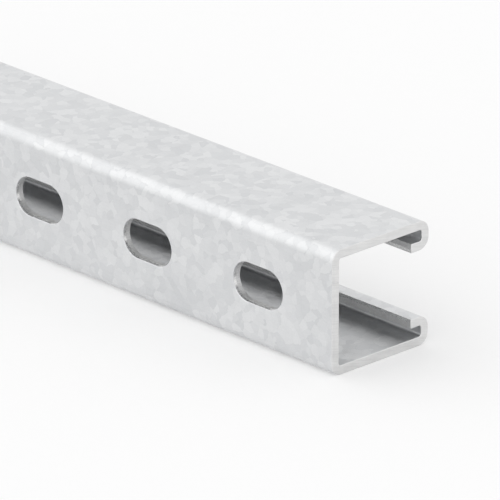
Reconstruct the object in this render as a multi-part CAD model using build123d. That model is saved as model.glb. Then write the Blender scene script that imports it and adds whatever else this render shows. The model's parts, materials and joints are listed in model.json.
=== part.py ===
from build123d import *
import os

# Slotted strut channel: one length of galvanised steel strip, punched with a row of
# slots and roll-formed into a C section whose lips turn in along the front and then
# back toward the web. The bar lies on one flange: X runs along it, Y from the web's
# back face to the open mouth, and Z up. The origin is at the middle of its footprint.

# Section
width = 41.3  # across the outer faces of the two flanges
depth = 41.3  # from the web's back face to the front of the lips
gauge = 3.0  # thickness of the strip, the same all the way round
bend_radius = 1.0  # inside radius of every bend
lip_width = 9.65  # from a flange's outer face in to the mouth, which the two lips leave 22 wide
return_depth = 7.5  # from the front of a lip to the edge of the strip behind it

# Bar
length = 300.0
cut_edge_break = 0.2  # burr taken off round both cut ends

# Row of slots along the middle of the web
slot_length = 22.0
slot_width = 13.0
slot_pitch = 50.0
first_slot = 33.0  # from the cut end at +X to the middle of the first slot
end_land = 5.0  # least steel kept between the last slot and the other cut end
punch_roll = 0.3  # radius that the punch draws on a slot's rim, on the back of the web


def strip_section():
    """The strip's section, from one raw edge round to the other, at constant gauge."""
    lower = [
        (-depth / 2, 0),
        (depth / 2, 0),
        (depth / 2, lip_width),
        (depth / 2 - return_depth, lip_width),
    ]
    upper = [(y, width - z) for y, z in reversed(lower)]
    outer_line = FilletPolyline(*upper, *lower, radius=bend_radius + gauge)
    return make_face(offset(outer_line, amount=gauge, side=Side.LEFT).edges())


def slot_centres():
    """Places of the slots along X, stepping from the +X end to the last whole slot."""
    run = length - first_slot - slot_length / 2 - end_land
    count = int(run // slot_pitch) + 1
    return [length / 2 - first_slot - slot_pitch * i for i in range(count)]


def rolled_bar():
    """The plain bar, with the sharp edges round its cut ends broken."""
    bar = extrude(Plane.YZ.offset(-length / 2) * strip_section(), amount=length)
    cut_faces = bar.faces().filter_by(Axis.X)
    return chamfer(cut_faces.edges(), cut_edge_break)


def punched(bar):
    """The bar with its slots, each cut through the web alone and rolled on its back rim."""
    web_middle = Plane((0, gauge / 2 - depth / 2, width / 2), x_dir=(1, 0, 0), z_dir=(0, -1, 0))
    slot = SlotOverall(slot_length, slot_width)
    for x in slot_centres():
        bar -= extrude(web_middle * Pos(x, 0) * slot, amount=gauge, both=True)
    web_back = bar.faces().sort_by(Axis.Y)[0]
    rims = [edge for wire in web_back.inner_wires() for edge in wire.edges()]
    return fillet(rims, punch_roll)


strut_channel = punched(rolled_bar())
os.makedirs("parts", exist_ok=True)
export_step(strut_channel, "parts/strut_channel.step")
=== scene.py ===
import json
import math
from collections import namedtuple
from itertools import pairwise

import bmesh
import bpy
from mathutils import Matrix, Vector


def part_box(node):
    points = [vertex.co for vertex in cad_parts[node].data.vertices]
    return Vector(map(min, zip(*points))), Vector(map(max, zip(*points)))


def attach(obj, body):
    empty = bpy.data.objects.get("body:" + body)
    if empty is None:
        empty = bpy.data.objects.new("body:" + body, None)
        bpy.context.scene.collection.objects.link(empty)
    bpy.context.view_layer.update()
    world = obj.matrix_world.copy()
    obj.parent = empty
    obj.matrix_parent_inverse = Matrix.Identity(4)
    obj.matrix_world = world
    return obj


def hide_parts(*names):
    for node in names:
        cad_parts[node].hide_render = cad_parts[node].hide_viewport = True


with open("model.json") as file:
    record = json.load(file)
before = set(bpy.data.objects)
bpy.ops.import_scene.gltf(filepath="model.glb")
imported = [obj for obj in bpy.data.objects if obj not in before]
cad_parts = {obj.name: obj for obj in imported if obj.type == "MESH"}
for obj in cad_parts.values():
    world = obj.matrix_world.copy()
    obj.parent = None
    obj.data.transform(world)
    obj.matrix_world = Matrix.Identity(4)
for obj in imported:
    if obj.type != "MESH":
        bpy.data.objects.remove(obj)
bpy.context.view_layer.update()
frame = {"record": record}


# --- The channel -----------------------------------------------------------------------
# One length of galvanised steel strip, 3 mm thick. It is punched flat with its row of
# slots, then rolled cold, bend by bend, into a C whose edges turn back into the mouth,
# and sawn square to length, so that only its sawn, punched and slit edges are bare steel.

bar_low, bar_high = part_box("strut_channel")
gauge = 0.003
outside_bend = 0.001 + gauge
lip_width = 0.00965
return_depth = 0.0075
bend_steps = 12
slit_round = 0.00015
slit_steps = 3
saw_break = 0.0002
ring_pitch = 0.010
punch_roll = 0.0003
punch_burr = 0.0001
roll_steps = 4
slot_end_steps = 32
same_point = 1e-7
sharp_from = math.radians(30)


# A point of the section in Y and Z: where it is, where the sawn face has it, how far through
# the strip it lies (0 outside, 1 inside), how much the rolls bent it, and the stretch that
# starts there.
Spot = namedtuple("Spot", "point sawn through bend stretch")


def rolled_line():
    """The strip's outer line round the section, from the raw edge behind the lower lip to the upper one.

    Each point has its place, its way into the steel, its bend and the stretch that starts there.
    All six bends turn the same way.
    """
    flange = bar_high.y - bar_low.y - 2 * outside_bend
    web = bar_high.z - bar_low.z - 2 * outside_bend
    lip = lip_width - 2 * outside_bend
    turned_back = return_depth - outside_bend
    flats = [("return", turned_back), ("lip", lip), ("flange", flange), ("web", web),
             ("flange", flange), ("lip", lip), ("return", turned_back)]
    point = Vector((bar_high.y - return_depth, bar_low.z + lip_width))
    heading = Vector((1.0, 0.0))
    line = []
    for name, flat in flats:
        into = Vector((heading.y, -heading.x))
        if line:
            centre = point + line[-1][1] * outside_bend
            for step in range(1, bend_steps):
                turn = math.radians(90) * (step / bend_steps - 1)
                across = into * math.cos(turn) - heading * math.sin(turn)
                bend = math.sin(math.pi * step / bend_steps)
                line.append((centre - across * outside_bend, across, bend, "bend"))
            point = centre - into * outside_bend
        line.append((point, into, 0.0, name))
        point = point + heading * flat
        line.append((point, into, 0.0, "bend"))
        heading = into
    return line


def slit_edge(point, into, out):
    """The raw edge of the strip, from its outer face round two small corners to its inner face."""
    edge = []
    for deep, side in ((slit_round, -1), (gauge - slit_round, 1)):
        centre = point - out * slit_round + into * deep
        for step in range(slit_steps + 1):
            turn = math.radians(90) * (step if side < 0 else slit_steps - step) / slit_steps
            corner = centre + (out * math.sin(turn) + into * side * math.cos(turn)) * slit_round
            through = (corner - point).dot(into)
            sawn = point - out * saw_break + into * min(max(through, saw_break), gauge - saw_break)
            edge.append(Spot(corner, sawn, through / gauge, 0.0, "slit"))
    return edge


def section_outline():
    """The whole section as one closed loop of spots: outer face, raw edge, inner face, raw edge."""
    line = rolled_line()
    behind_lips = Vector((-1.0, 0.0))
    lower_edge = slit_edge(*line[0][:2], behind_lips)[::-1]
    upper_edge = slit_edge(*line[-1][:2], behind_lips)
    lower_edge[-1] = lower_edge[-1]._replace(stretch="return")
    upper_edge[-1] = upper_edge[-1]._replace(stretch="return")
    outer = [Spot(point, point + into * saw_break, 0.0, bend, stretch)
             for point, into, bend, stretch in line[1:-1]]
    inner = [Spot(point + into * gauge, point + into * (gauge - saw_break), 1.0, bend, before[-1])
             for before, (point, into, bend, _) in zip(line, line[1:-1])]
    return lower_edge + outer + upper_edge + inner[::-1]


def slot_places():
    """The middle of each slot along the bar, from the record's pairs of slots."""
    places = []
    for mount in frame["record"]["mounts"]:
        if mount["kind"] == "bolt_pattern":
            apart = mount["dims"]["spacing_x_mm"] / 2000
            places += [mount["pos_m"][0] + apart, mount["pos_m"][0] - apart]
    return places


def slot_loop(bar, middle, grow, deep):
    """One loop of a slot's wall, so far under the web's back face, and wider than the slot by grow."""
    slot = next(m["dims"] for m in frame["record"]["mounts"] if m["kind"] == "bolt_pattern")
    end_radius = slot["hole_r_mm"] / 1000
    straight = slot["slot_length_mm"] / 1000 - 2 * end_radius
    loop = []
    for side in (1, -1):
        for step in range(slot_end_steps + 1):
            turn = math.pi * (step / slot_end_steps - 0.5)
            x = middle + side * (straight / 2 + (end_radius + grow) * math.cos(turn))
            z = (bar_low.z + bar_high.z) / 2 + side * (end_radius + grow) * math.sin(turn)
            corner = bar.verts.new((x, bar_low.y + deep, z))
            corner[bar.verts.layers.float["through"]] = deep / gauge
            loop.append(corner)
    return loop


def join_loops(bar, one, other, kinds):
    """A band of faces between two loops of as many points, of these kinds; None leaves a gap."""
    for j, kind in enumerate(kinds):
        if kind is not None:
            k = (j + 1) % len(kinds)
            bar.faces.new((one[j], one[k], other[k], other[j])).material_index = kind


def close_web(bar, rings, start, rims, kind):
    """Fills one face of the web, between its two bends and round the slots' rims."""
    border = [(ring[start], ring[start + 1]) for ring in (rings[0], rings[-1])]
    for one, other in pairwise(rings):
        border += [(one[start], other[start]), (one[start + 1], other[start + 1])]
    for rim in rims:
        border += list(zip(rim, rim[1:] + rim[:1]))
    edges = [bar.edges.get(pair) or bar.edges.new(pair) for pair in border]
    filled = bmesh.ops.triangle_fill(bar, use_beauty=True, use_dissolve=False, edges=edges)
    for face in filled["geom"]:
        if isinstance(face, bmesh.types.BMFace):
            face.material_index = kind


def channel_mesh():
    """The finished bar: rings of the section along X, the web closed round its slots, and two sawn ends."""
    zinc, sawn, sheared = range(3)
    outline = section_outline()
    skin = [None if spot.stretch == "web" else sheared if spot.stretch == "slit" else zinc
            for spot in outline]
    bar = bmesh.new()
    through = bar.verts.layers.float.new("through")
    bend = bar.verts.layers.float.new("bend")

    def ring_at(x, on_sawn_face=False):
        ring = []
        for spot in outline:
            corner = bar.verts.new((x, *(spot.sawn if on_sawn_face else spot.point)))
            corner[through], corner[bend] = spot.through, spot.bend
            ring.append(corner)
        return ring

    count = round((bar_high.x - bar_low.x) / ring_pitch)
    first, last = bar_low.x + saw_break, bar_high.x - saw_break
    rings = [ring_at(first + (last - first) * step / count) for step in range(count + 1)]
    for one, other in pairwise(rings):
        join_loops(bar, one, other, skin)
    for ring, x in ((rings[0], bar_low.x), (rings[-1], bar_high.x)):
        end = ring_at(x, on_sawn_face=True)
        join_loops(bar, ring, end, [sawn] * len(outline))
        bar.faces.new(end).material_index = sawn

    back_rims, inside_rims = [], []
    for middle in slot_places():
        turns = [math.radians(90) * step / roll_steps for step in range(roll_steps + 1)]
        rim = [slot_loop(bar, middle, punch_roll * (1 - math.sin(turn)), punch_roll * (1 - math.cos(turn)))
               for turn in turns]
        wall = [rim[-1],
                slot_loop(bar, middle, 0, gauge - punch_burr),
                slot_loop(bar, middle, punch_burr, gauge)]
        for loops, kind in ((rim, zinc), (wall, sheared)):
            for one, other in pairwise(loops):
                join_loops(bar, one, other, [kind] * len(one))
        back_rims.append(rim[0])
        inside_rims.append(wall[-1])
    web_faces = [j for j, kind in enumerate(skin) if kind is None]
    for start, rims in zip(web_faces, (back_rims, inside_rims)):
        close_web(bar, rings, start, rims, zinc)

    bmesh.ops.remove_doubles(bar, verts=bar.verts, dist=same_point)
    bmesh.ops.recalc_face_normals(bar, faces=bar.faces)
    mesh = bpy.data.meshes.new("channel")
    bar.to_mesh(mesh)
    bar.free()
    mesh.shade_smooth()
    mesh.set_sharp_from_angle(angle=sharp_from)
    return mesh


def node(material, kind, settings=None, **sockets):
    """A node of this material. A socket, by name or number, takes a value or another node's output."""
    made = material.node_tree.nodes.new("ShaderNode" + kind)
    for name, value in (settings or {}).items():
        setattr(made, name, value)
    for name, value in sockets.items():
        socket = made.inputs[int(name[1:]) if name[1:].isdigit() else name.replace("_", " ")]
        if isinstance(value, bpy.types.NodeSocket):
            material.node_tree.links.new(value, socket)
        else:
            socket.default_value = value
    return made


def add(material, weighed, onto=0.0):
    """Values added up, each times its weight, onto a first number or value."""
    total = onto
    for value, weight in weighed:
        total = node(material, "Math", {"operation": "MULTIPLY_ADD"},
                     _0=value, _1=weight, _2=total).outputs[0]
    return total


def times(material, one, other):
    """One value times another."""
    return node(material, "Math", {"operation": "MULTIPLY"}, _0=one, _1=other).outputs[0]


def between(material, value, low, high):
    """How far a value has come from low to high, from 0 to 1, eased at both ends."""
    return node(material, "MapRange", {"interpolation_type": "SMOOTHSTEP"},
                Value=value, From_Min=low, From_Max=high).outputs[0]


def cloudy(material, place, finer, detail=3.0, stretch=(1, 1, 1)):
    """Cloudy noise, so many clouds to a metre, spread so that it fills 0 to 1."""
    stretched = node(material, "Mapping", Vector=place, Scale=stretch).outputs[0]
    noise = node(material, "TexNoise", Vector=stretched, Scale=finer, Detail=detail, Roughness=0.6)
    return between(material, noise.outputs["Fac"], 0.3, 0.7)


def vector(material, operation, *terms):
    """The outputs of one sum on vectors."""
    numbered = {f"_{place}": term for place, term in enumerate(terms)}
    return node(material, "VectorMath", {"operation": operation}, **numbered).outputs


def carried(material, name):
    """A value that the mesh carries at its corners."""
    return node(material, "Attribute", {"attribute_name": name}).outputs["Fac"]


def steel_finish(name):
    """An empty metal finish, its shader, and its place in the object's own metres."""
    finish = bpy.data.materials.new(name)
    finish.use_nodes = True
    shader = finish.node_tree.nodes["Principled BSDF"]
    shader.inputs["Metallic"].default_value = 1.0
    return finish, shader, node(finish, "TexCoord").outputs["Object"]


def dress(finish, shader, tone, dark, light, rough, height):
    """Gives a finish its colour, from dark to light by tone, its roughness, and its relief in metres."""
    colour = node(finish, "MixRGB", Fac=tone, Color1=(*dark, 1), Color2=(*light, 1)).outputs[0]
    relief = node(finish, "Bump", Height=height, Distance=1.0).outputs[0]
    for value, socket in ((colour, "Base Color"), (rough, "Roughness"), (relief, "Normal")):
        finish.node_tree.links.new(value, shader.inputs[socket])
    return finish


zinc_dark = (0.61, 0.62, 0.632)
zinc_light = (0.80, 0.805, 0.81)
zinc_gloss = 0.32
crystals_per_metre = 340.0
seam_width = 0.05
edge_waves_per_metre = 520.0
edge_reach = 0.0016
crystal_lean = 0.05
ferns_per_metre = 5200.0
grains_per_metre = 2400.0
roll_lines_per_metre = (7, 1500, 1500)
zinc_patches_per_metre = 26.0


def zinc_coat():
    """Satin zinc. It froze in small flat crystals, each with its own lean and its own fine ferns.

    The rolls then drew faint lines along the bar, and pressed the coat smoother on the bends.
    """
    zinc, shader, place = steel_finish("zinc_coat")
    waves = node(zinc, "TexNoise", Vector=place, Scale=edge_waves_per_metre, Detail=3.0).outputs["Color"]
    uneven = vector(zinc, "MULTIPLY_ADD", waves, (edge_reach, edge_reach, edge_reach), place)[0]
    crystal = node(zinc, "TexVoronoi", Vector=uneven, Scale=crystals_per_metre)
    edge = node(zinc, "TexVoronoi", {"feature": "DISTANCE_TO_EDGE"},
                Vector=uneven, Scale=crystals_per_metre)
    inside_seam = between(zinc, edge.outputs["Distance"], 0.0, seam_width)
    own_tone, own_gloss, own_ferns = node(zinc, "SeparateColor", Color=crystal.outputs["Color"]).outputs
    lean = vector(zinc, "SUBTRACT", crystal.outputs["Color"], (0.5, 0.5, 0.5))[0]
    from_middle = vector(zinc, "SUBTRACT", uneven, crystal.outputs["Position"])[0]
    along_lean = vector(zinc, "DOT_PRODUCT", from_middle, lean)[1]

    fern_place = add(zinc, [(along_lean, ferns_per_metre), (own_ferns, 90.0)])
    fern_line = node(zinc, "TexNoise", {"noise_dimensions": "1D"}, W=fern_place, Scale=1.0, Detail=2.0)
    ferns = between(zinc, fern_line.outputs["Fac"], 0.3, 0.7)
    grain = cloudy(zinc, place, grains_per_metre, 4.0)
    roll_lines = cloudy(zinc, place, 1.0, 4.0, roll_lines_per_metre)
    patches = cloudy(zinc, place, zinc_patches_per_metre)
    rolled = carried(zinc, "bend")
    pressed = times(zinc, rolled, roll_lines)

    tone = add(zinc, [(own_tone, 0.46), (ferns, 0.10), (grain, 0.10), (roll_lines, 0.12),
                      (patches, 0.14), (inside_seam, 0.06), (rolled, 0.08), (pressed, 0.10)], -0.02)
    rough = add(zinc, [(own_gloss, 0.10), (ferns, 0.04), (roll_lines, 0.08), (patches, 0.05),
                       (rolled, -0.07), (pressed, 0.08)], zinc_gloss)
    height = add(zinc, [(along_lean, crystal_lean), (ferns, 0.000003), (grain, 0.000004),
                        (roll_lines, 0.000005), (inside_seam, 0.000004)])
    return dress(zinc, shader, tone, zinc_dark, zinc_light, rough, height)


sawn_dark = (0.63, 0.63, 0.63)
sawn_light = (0.82, 0.82, 0.815)
saw_tilt = math.radians(12)
tooth_lines_per_metre = (1, 60, 2800)
saw_strokes_per_metre = (1, 12, 420)
sawn_patches_per_metre = 180.0


def sawn_steel():
    """Bare steel, bright from the saw, with its fine and slightly uneven lines across the section."""
    sawn, shader, place = steel_finish("sawn_steel")
    tilted = node(sawn, "Mapping", Vector=place, Rotation=(saw_tilt, 0, 0)).outputs[0]
    tooth_lines = cloudy(sawn, tilted, 1.0, 4.0, tooth_lines_per_metre)
    strokes = cloudy(sawn, tilted, 1.0, 2.0, saw_strokes_per_metre)
    patches = cloudy(sawn, place, sawn_patches_per_metre)
    tone = add(sawn, [(tooth_lines, 0.45), (strokes, 0.30), (patches, 0.25)])
    rough = add(sawn, [(tooth_lines, 0.16), (strokes, 0.10)], 0.26)
    height = add(sawn, [(tooth_lines, 0.000012), (strokes, 0.000010)])
    return dress(sawn, shader, tone, sawn_dark, sawn_light, rough, height)


sheared_dark = (0.58, 0.58, 0.58)
sheared_light = (0.84, 0.84, 0.835)
drawn_lines_per_metre = (2200, 120, 2200)
tears_per_metre = 700.0
lumps_per_metre = 3200.0
tear_starts = 0.42
tear_full = 0.50


def sheared_steel():
    """Bare steel that a punch or slitter went through: a smooth drawn land, then a duller torn face."""
    sheared, shader, place = steel_finish("sheared_steel")
    drawn_lines = cloudy(sheared, place, 1.0, 3.0, drawn_lines_per_metre)
    ragged = cloudy(sheared, place, tears_per_metre)
    lumps = cloudy(sheared, place, lumps_per_metre)
    through = add(sheared, [(ragged, 0.12)], carried(sheared, "through"))
    torn = between(sheared, through, tear_starts, tear_full)
    torn_lumps = times(sheared, torn, lumps)
    tone = add(sheared, [(drawn_lines, 0.35), (torn, -0.30), (torn_lumps, 0.25)], 0.55)
    rough = add(sheared, [(drawn_lines, 0.08), (torn, 0.28)], 0.24)
    height = add(sheared, [(drawn_lines, 0.000006), (torn, -0.000040), (torn_lumps, 0.000040)])
    return dress(sheared, shader, tone, sheared_dark, sheared_light, rough, height)


channel = bpy.data.objects.new("channel", channel_mesh())
bpy.context.scene.collection.objects.link(channel)
even = channel.modifiers.new("even_faces", "WEIGHTED_NORMAL")
even.keep_sharp = True
for finish in (zinc_coat(), sawn_steel(), sheared_steel()):
    channel.data.materials.append(finish)
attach(channel, "root")
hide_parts("strut_channel")


# --- The floor -------------------------------------------------------------------------
# A plain white studio floor that the bar lies on. The camera sees it whiter than it is,
# so that it runs into the white room behind it, and it still takes the bar's shadow.

floor_half = 8.0
floor_drop = 0.00005
floor_white = 0.97
floor_lift = 0.28
floor_corners = [(x * floor_half, y * floor_half, -floor_drop)
                 for x, y in ((-1, -1), (1, -1), (1, 1), (-1, 1))]
floor_mesh = bpy.data.meshes.new("floor")
floor_mesh.from_pydata(floor_corners, [], [(0, 1, 2, 3)])
floor = bpy.data.objects.new("floor", floor_mesh)
bpy.context.scene.collection.objects.link(floor)


def seen_rays(tree):
    """1 for what is seen, straight, in metal or through glass, and 0 for light that falls on things."""
    rays = tree.nodes.new("ShaderNodeLightPath")
    seen = rays.outputs["Is Camera Ray"]
    for other in ("Is Glossy Ray", "Is Transmission Ray"):
        either = tree.nodes.new("ShaderNodeMath")
        either.operation = "MAXIMUM"
        tree.links.new(seen, either.inputs[0])
        tree.links.new(rays.outputs[other], either.inputs[1])
        seen = either.outputs[0]
    return seen


floor_paint = bpy.data.materials.new("floor_paint")
floor_paint.use_nodes = True
floor_tree = floor_paint.node_tree
floor_shader = floor_tree.nodes["Principled BSDF"]
floor_shader.inputs["Base Color"].default_value = (floor_white, floor_white, floor_white, 1)
floor_shader.inputs["Roughness"].default_value = 0.9
floor_shader.inputs["Specular IOR Level"].default_value = 0.1
white = floor_tree.nodes.new("ShaderNodeEmission")
lift = floor_tree.nodes.new("ShaderNodeMath")
lift.operation = "MULTIPLY"
lift.inputs[1].default_value = floor_lift
lifted = floor_tree.nodes.new("ShaderNodeMixShader")
floor_tree.links.new(seen_rays(floor_tree), lift.inputs[0])
floor_tree.links.new(lift.outputs[0], lifted.inputs["Fac"])
floor_tree.links.new(floor_shader.outputs["BSDF"], lifted.inputs[1])
floor_tree.links.new(white.outputs["Emission"], lifted.inputs[2])
floor_tree.links.new(lifted.outputs["Shader"], floor_tree.nodes["Material Output"].inputs["Surface"])
floor.data.materials.append(floor_paint)


# --- The light -------------------------------------------------------------------------
# A white room, which gives most of the light. Two broad, soft lamps add to it, one in front
# of the web and a weaker one beyond the sawn end.

def soft_light(name, comes_from, spread, power):
    """Even light from one side of the room, as a wide soft box gives it."""
    lamp = bpy.data.lights.new(name, "SUN")
    lamp.angle = math.radians(spread)
    lamp.energy = power
    light = bpy.data.objects.new(name, lamp)
    bpy.context.scene.collection.objects.link(light)
    light.rotation_mode = "QUATERNION"
    light.rotation_quaternion = (-Vector(comes_from)).to_track_quat("-Z", "Y")


soft_light("key", (-0.7, -1.2, 0.8), 110, 0.6)
soft_light("fill", (1.6, -0.4, 0.7), 110, 0.3)

room_light = 0.86
room = bpy.data.worlds.new("white_room")
bpy.context.scene.world = room
room.use_nodes = True
walls = room.node_tree.nodes["Background"]
walls.inputs["Color"].default_value = (1, 1, 1, 1)
strength = room.node_tree.nodes.new("ShaderNodeMapRange")
strength.inputs["To Min"].default_value = room_light
strength.inputs["To Max"].default_value = 1.0
room.node_tree.links.new(seen_rays(room.node_tree), strength.inputs["Value"])
room.node_tree.links.new(strength.outputs["Result"], walls.inputs["Strength"])


# --- The camera ------------------------------------------------------------------------
# It looks down a little on the sawn end and the slotted web, from far off through a long
# lens, so that the bar's long edges stay almost parallel.

view_azimuth = math.radians(46.5)
view_elevation = math.radians(21.6)
view_distance = 2.561
view_lens = 600
looks_at = Vector((bar_high.x - 0.0364, bar_low.y, bar_low.z + 0.0316))
camera_data = bpy.data.cameras.new("camera")
camera_data.lens = view_lens
camera_data.sensor_width = 36
camera_data.clip_end = 30
camera = bpy.data.objects.new("camera", camera_data)
bpy.context.scene.collection.objects.link(camera)
back = Vector((math.sin(view_azimuth) * math.cos(view_elevation),
               -math.cos(view_azimuth) * math.cos(view_elevation),
               math.sin(view_elevation)))
camera.location = looks_at + back * view_distance
camera.rotation_mode = "QUATERNION"
camera.rotation_quaternion = (-back).to_track_quat("-Z", "Y")
bpy.context.scene.camera = camera
bpy.context.scene.view_settings.view_transform = "Standard"
